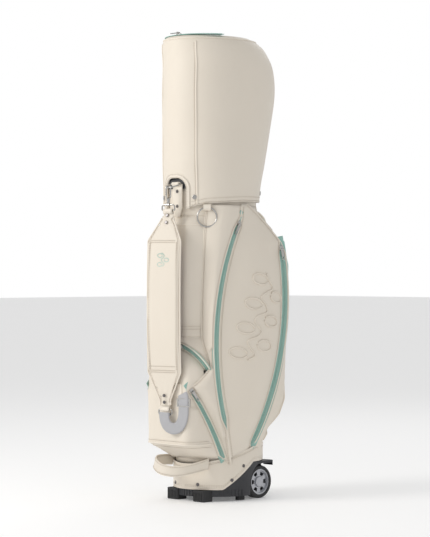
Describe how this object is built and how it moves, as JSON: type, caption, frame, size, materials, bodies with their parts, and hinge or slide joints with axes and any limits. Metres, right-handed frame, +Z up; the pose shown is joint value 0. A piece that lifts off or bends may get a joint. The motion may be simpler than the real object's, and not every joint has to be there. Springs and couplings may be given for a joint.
{
  "type": "golf staff bag",
  "caption": "Wheeled golf staff bag with a tall rain hood, padded shoulder strap, leaf-shaped side pockets, grab handles and two rear wheels.",
  "frame": {"origin": "on the floor, under the middle of the bag's overall box", "axes": "+Z up; -Y to the front, where the shoulder strap hangs; +X to the bag's left side seen from the front"},
  "size_m": [0.3448, 0.4132, 1.2713],
  "materials": {
    "cream_leather": "fine-grained coated leather, soft sheen",
    "teal_tape": "woven zip tape, matt",
    "teal_coil": "nylon coil teeth",
    "teal_mesh": "elastic mesh",
    "plated_metal": "bright nickel plating",
    "grey_webbing": "ribbed nylon webbing",
    "black_plastic": "moulded, satin",
    "black_rubber": "matt ribbed",
    "tyre_rubber": "matt",
    "silver_hub": "silver painted moulding",
    "steel": "turned",
    "divider_fabric": "brushed lining",
    "stay_fibre": "glass-fibre rod"
  },
  "bodies": {
    "bag": {"accessory_pocket": "cream_leather", "anchor_rivets": "plated_metal", "ball_pocket": "cream_leather", "base_boot": "cream_leather", "base_screws": "plated_metal", "base_tray": "black_plastic", "body_tube": "cream_leather", "divider_cross": "divider_fabric", "divider_lengthwise": "divider_fabric", "front_feet": "black_rubber", "heel_feet": "black_rubber", "hood_studs": "plated_metal", "mesh_pockets": "teal_mesh", "rear_handle": "cream_leather", "side_panel_left": "cream_leather", "side_panel_right": "cream_leather", "side_pocket_left": "cream_leather", "side_pocket_right": "cream_leather", "stay_rods": "stay_fibre", "strap_anchor_tab": "cream_leather", "top_collar": "black_plastic", "towel_ring_tab": "cream_leather", "webbing_anchor": "cream_leather", "wheel_axle": "steel", "zip_coils": "teal_coil", "zip_tapes": "teal_tape"},
    "hood": {"hood_shell": "cream_leather", "hood_snaps": "plated_metal", "hood_zip": "teal_tape"},
    "wheel_left": {"wheel_tyre_left": "tyre_rubber", "wheel_hub_left": "silver_hub"},
    "wheel_right": {"wheel_tyre_right": "tyre_rubber", "wheel_hub_right": "silver_hub"},
    "towel_ring": {"towel_ring": "plated_metal"},
    "grab_handle": {"grab_handle": "cream_leather"},
    "snap_gate": {"snap_gate": "plated_metal"},
    "strap": {"d_ring": "plated_metal", "snap_hook": "plated_metal", "oval_ring": "plated_metal", "strap_pad": "cream_leather", "strap_rivets": "plated_metal", "strap_bar": "plated_metal", "strap_webbing": "grey_webbing", "tri_glide": "plated_metal"},
    "zip_slider_side_front_left": {"slider_side_front_left": "plated_metal"},
    "zip_pull_side_front_left": {"pull_side_front_left": "plated_metal"},
    "zip_slider_side_front_right": {"slider_side_front_right": "plated_metal"},
    "zip_pull_side_front_right": {"pull_side_front_right": "plated_metal"},
    "zip_slider_side_rear_left": {"slider_side_rear_left": "plated_metal"},
    "zip_pull_side_rear_left": {"pull_side_rear_left": "plated_metal"},
    "zip_slider_side_rear_right": {"slider_side_rear_right": "plated_metal"},
    "zip_pull_side_rear_right": {"pull_side_rear_right": "plated_metal"},
    "zip_slider_slant_left": {"slider_slant_left": "plated_metal"},
    "zip_pull_slant_left": {"pull_slant_left": "plated_metal"},
    "zip_slider_slant_right": {"slider_slant_right": "plated_metal"},
    "zip_pull_slant_right": {"pull_slant_right": "plated_metal"},
    "zip_slider_arch": {"slider_arch": "plated_metal"},
    "zip_pull_arch": {"pull_arch": "plated_metal"},
    "zip_slider_hood": {"slider_hood": "plated_metal"},
    "zip_pull_hood": {"pull_hood": "plated_metal"}
  },
  "joints": [
    {"name": "hood_lift", "type": "slide", "parent": "bag", "child": "hood", "axis": [0, 0, 1], "range_m": [0, 0.56]},
    {"name": "wheel_left_spin", "type": "hinge", "parent": "bag", "child": "wheel_left", "pos_m": [0, 0.089, 0.045], "axis": [1, 0, 0], "continuous": true},
    {"name": "wheel_right_spin", "type": "hinge", "parent": "bag", "child": "wheel_right", "pos_m": [0, 0.089, 0.045], "axis": [1, 0, 0], "continuous": true},
    {"name": "towel_ring_swing", "type": "hinge", "parent": "bag", "child": "towel_ring", "pos_m": [0.08706, -0.0984, 0.794], "axis": [-0.6933, -0.7206, 0], "range_deg": [0, 75]},
    {"name": "strap_swing", "type": "hinge", "parent": "bag", "child": "strap", "pos_m": [0.01, -0.1402, 0.858], "axis": [-1, 0, 0], "range_deg": [0, 12]},
    {"name": "snap_gate_push", "type": "hinge", "parent": "strap", "child": "snap_gate", "pos_m": [0.01, -0.17639, 0.82714], "axis": [-1, 0, 0], "range_deg": [0, 26], "stiffness_Nm_per_rad": 0.02, "springref_deg": -17.19},
    {"name": "grab_handle_lift", "type": "hinge", "parent": "bag", "child": "grab_handle", "pos_m": [0, -0.074, 0.097], "axis": [-1, 0, 0], "range_deg": [-20, 15]},
    {"name": "zip_side_front_left_slide", "type": "hinge", "parent": "bag", "child": "zip_slider_side_front_left", "pos_m": [0.18926, 0.64557, 0.43017], "axis": [0.9949, -0.1004, -0.0114], "range_deg": [-1.02, 43.46]},
    {"name": "zip_side_front_left_pull", "type": "hinge", "parent": "zip_slider_side_front_left", "child": "zip_pull_side_front_left", "pos_m": [0.13334, -0.02143, 0.74827], "axis": [-0.0855, -0.897, 0.4336], "range_deg": [0, 140]},
    {"name": "zip_side_front_right_slide", "type": "hinge", "parent": "bag", "child": "zip_slider_side_front_right", "pos_m": [-0.18926, 0.64557, 0.43017], "axis": [0.9949, 0.1004, 0.0114], "range_deg": [-1.02, 43.46]},
    {"name": "zip_side_front_right_pull", "type": "hinge", "parent": "zip_slider_side_front_right", "child": "zip_pull_side_front_right", "pos_m": [-0.13334, -0.02143, 0.74827], "axis": [-0.0855, 0.897, -0.4336], "range_deg": [0, 140]},
    {"name": "zip_side_rear_left_slide", "type": "hinge", "parent": "bag", "child": "zip_slider_side_rear_left", "pos_m": [-0.27782, -0.64169, 0.54895], "axis": [-0.8682, 0.4961, 0], "range_deg": [-0.62, 33.19]},
    {"name": "zip_side_rear_left_pull", "type": "hinge", "parent": "zip_slider_side_rear_left", "child": "zip_pull_side_rear_left", "pos_m": [0.16234, 0.11308, 0.68278], "axis": [-0.4901, -0.8577, -0.1553], "range_deg": [0, 140]},
    {"name": "zip_side_rear_right_slide", "type": "hinge", "parent": "bag", "child": "zip_slider_side_rear_right", "pos_m": [0.27782, -0.64169, 0.54895], "axis": [-0.8682, -0.4961, 0], "range_deg": [-0.62, 33.19]},
    {"name": "zip_side_rear_right_pull", "type": "hinge", "parent": "zip_slider_side_rear_right", "child": "zip_pull_side_rear_right", "pos_m": [-0.16234, 0.11308, 0.68278], "axis": [-0.4901, 0.8577, 0.1553], "range_deg": [0, 140]},
    {"name": "zip_slant_left_slide", "type": "hinge", "parent": "bag", "child": "zip_slider_slant_left", "pos_m": [-0.13564, -0.80803, -0.19742], "axis": [-0.9614, 0.2689, 0.059], "range_deg": [-0.23, 13.44]},
    {"name": "zip_slant_left_pull", "type": "hinge", "parent": "zip_slider_slant_left", "child": "zip_pull_slant_left", "pos_m": [0.08704, -0.14967, 0.29991], "axis": [-0.2515, -0.7705, -0.5858], "range_deg": [0, 140]},
    {"name": "zip_slant_right_slide", "type": "hinge", "parent": "bag", "child": "zip_slider_slant_right", "pos_m": [0.13564, -0.80803, -0.19742], "axis": [-0.9614, -0.2689, -0.059], "range_deg": [-0.23, 13.44]},
    {"name": "zip_slant_right_pull", "type": "hinge", "parent": "zip_slider_slant_right", "child": "zip_pull_slant_right", "pos_m": [-0.08704, -0.14967, 0.29991], "axis": [-0.2515, 0.7705, 0.5858], "range_deg": [0, 140]},
    {"name": "zip_arch_slide", "type": "hinge", "parent": "bag", "child": "zip_slider_arch", "pos_m": [0, -0.09655, 0.34298], "axis": [0, -0.8522, -0.5231], "range_deg": [-52.45, 96.53]},
    {"name": "zip_arch_pull", "type": "hinge", "parent": "zip_slider_arch", "child": "zip_pull_arch", "pos_m": [0.03502, -0.15325, 0.42063], "axis": [0.3752, -0.4849, 0.79], "range_deg": [0, 80]},
    {"name": "zip_hood_slide", "type": "hinge", "parent": "hood", "child": "zip_slider_hood", "pos_m": [0, -0.01917, 1.261], "axis": [0, 0, -1], "range_deg": [-67.94, 67.94]},
    {"name": "zip_hood_pull", "type": "hinge", "parent": "zip_slider_hood", "child": "zip_pull_hood", "pos_m": [-0.0035, -0.12, 1.2687], "axis": [0, 1, 0], "range_deg": [0, 140]}
  ]
}
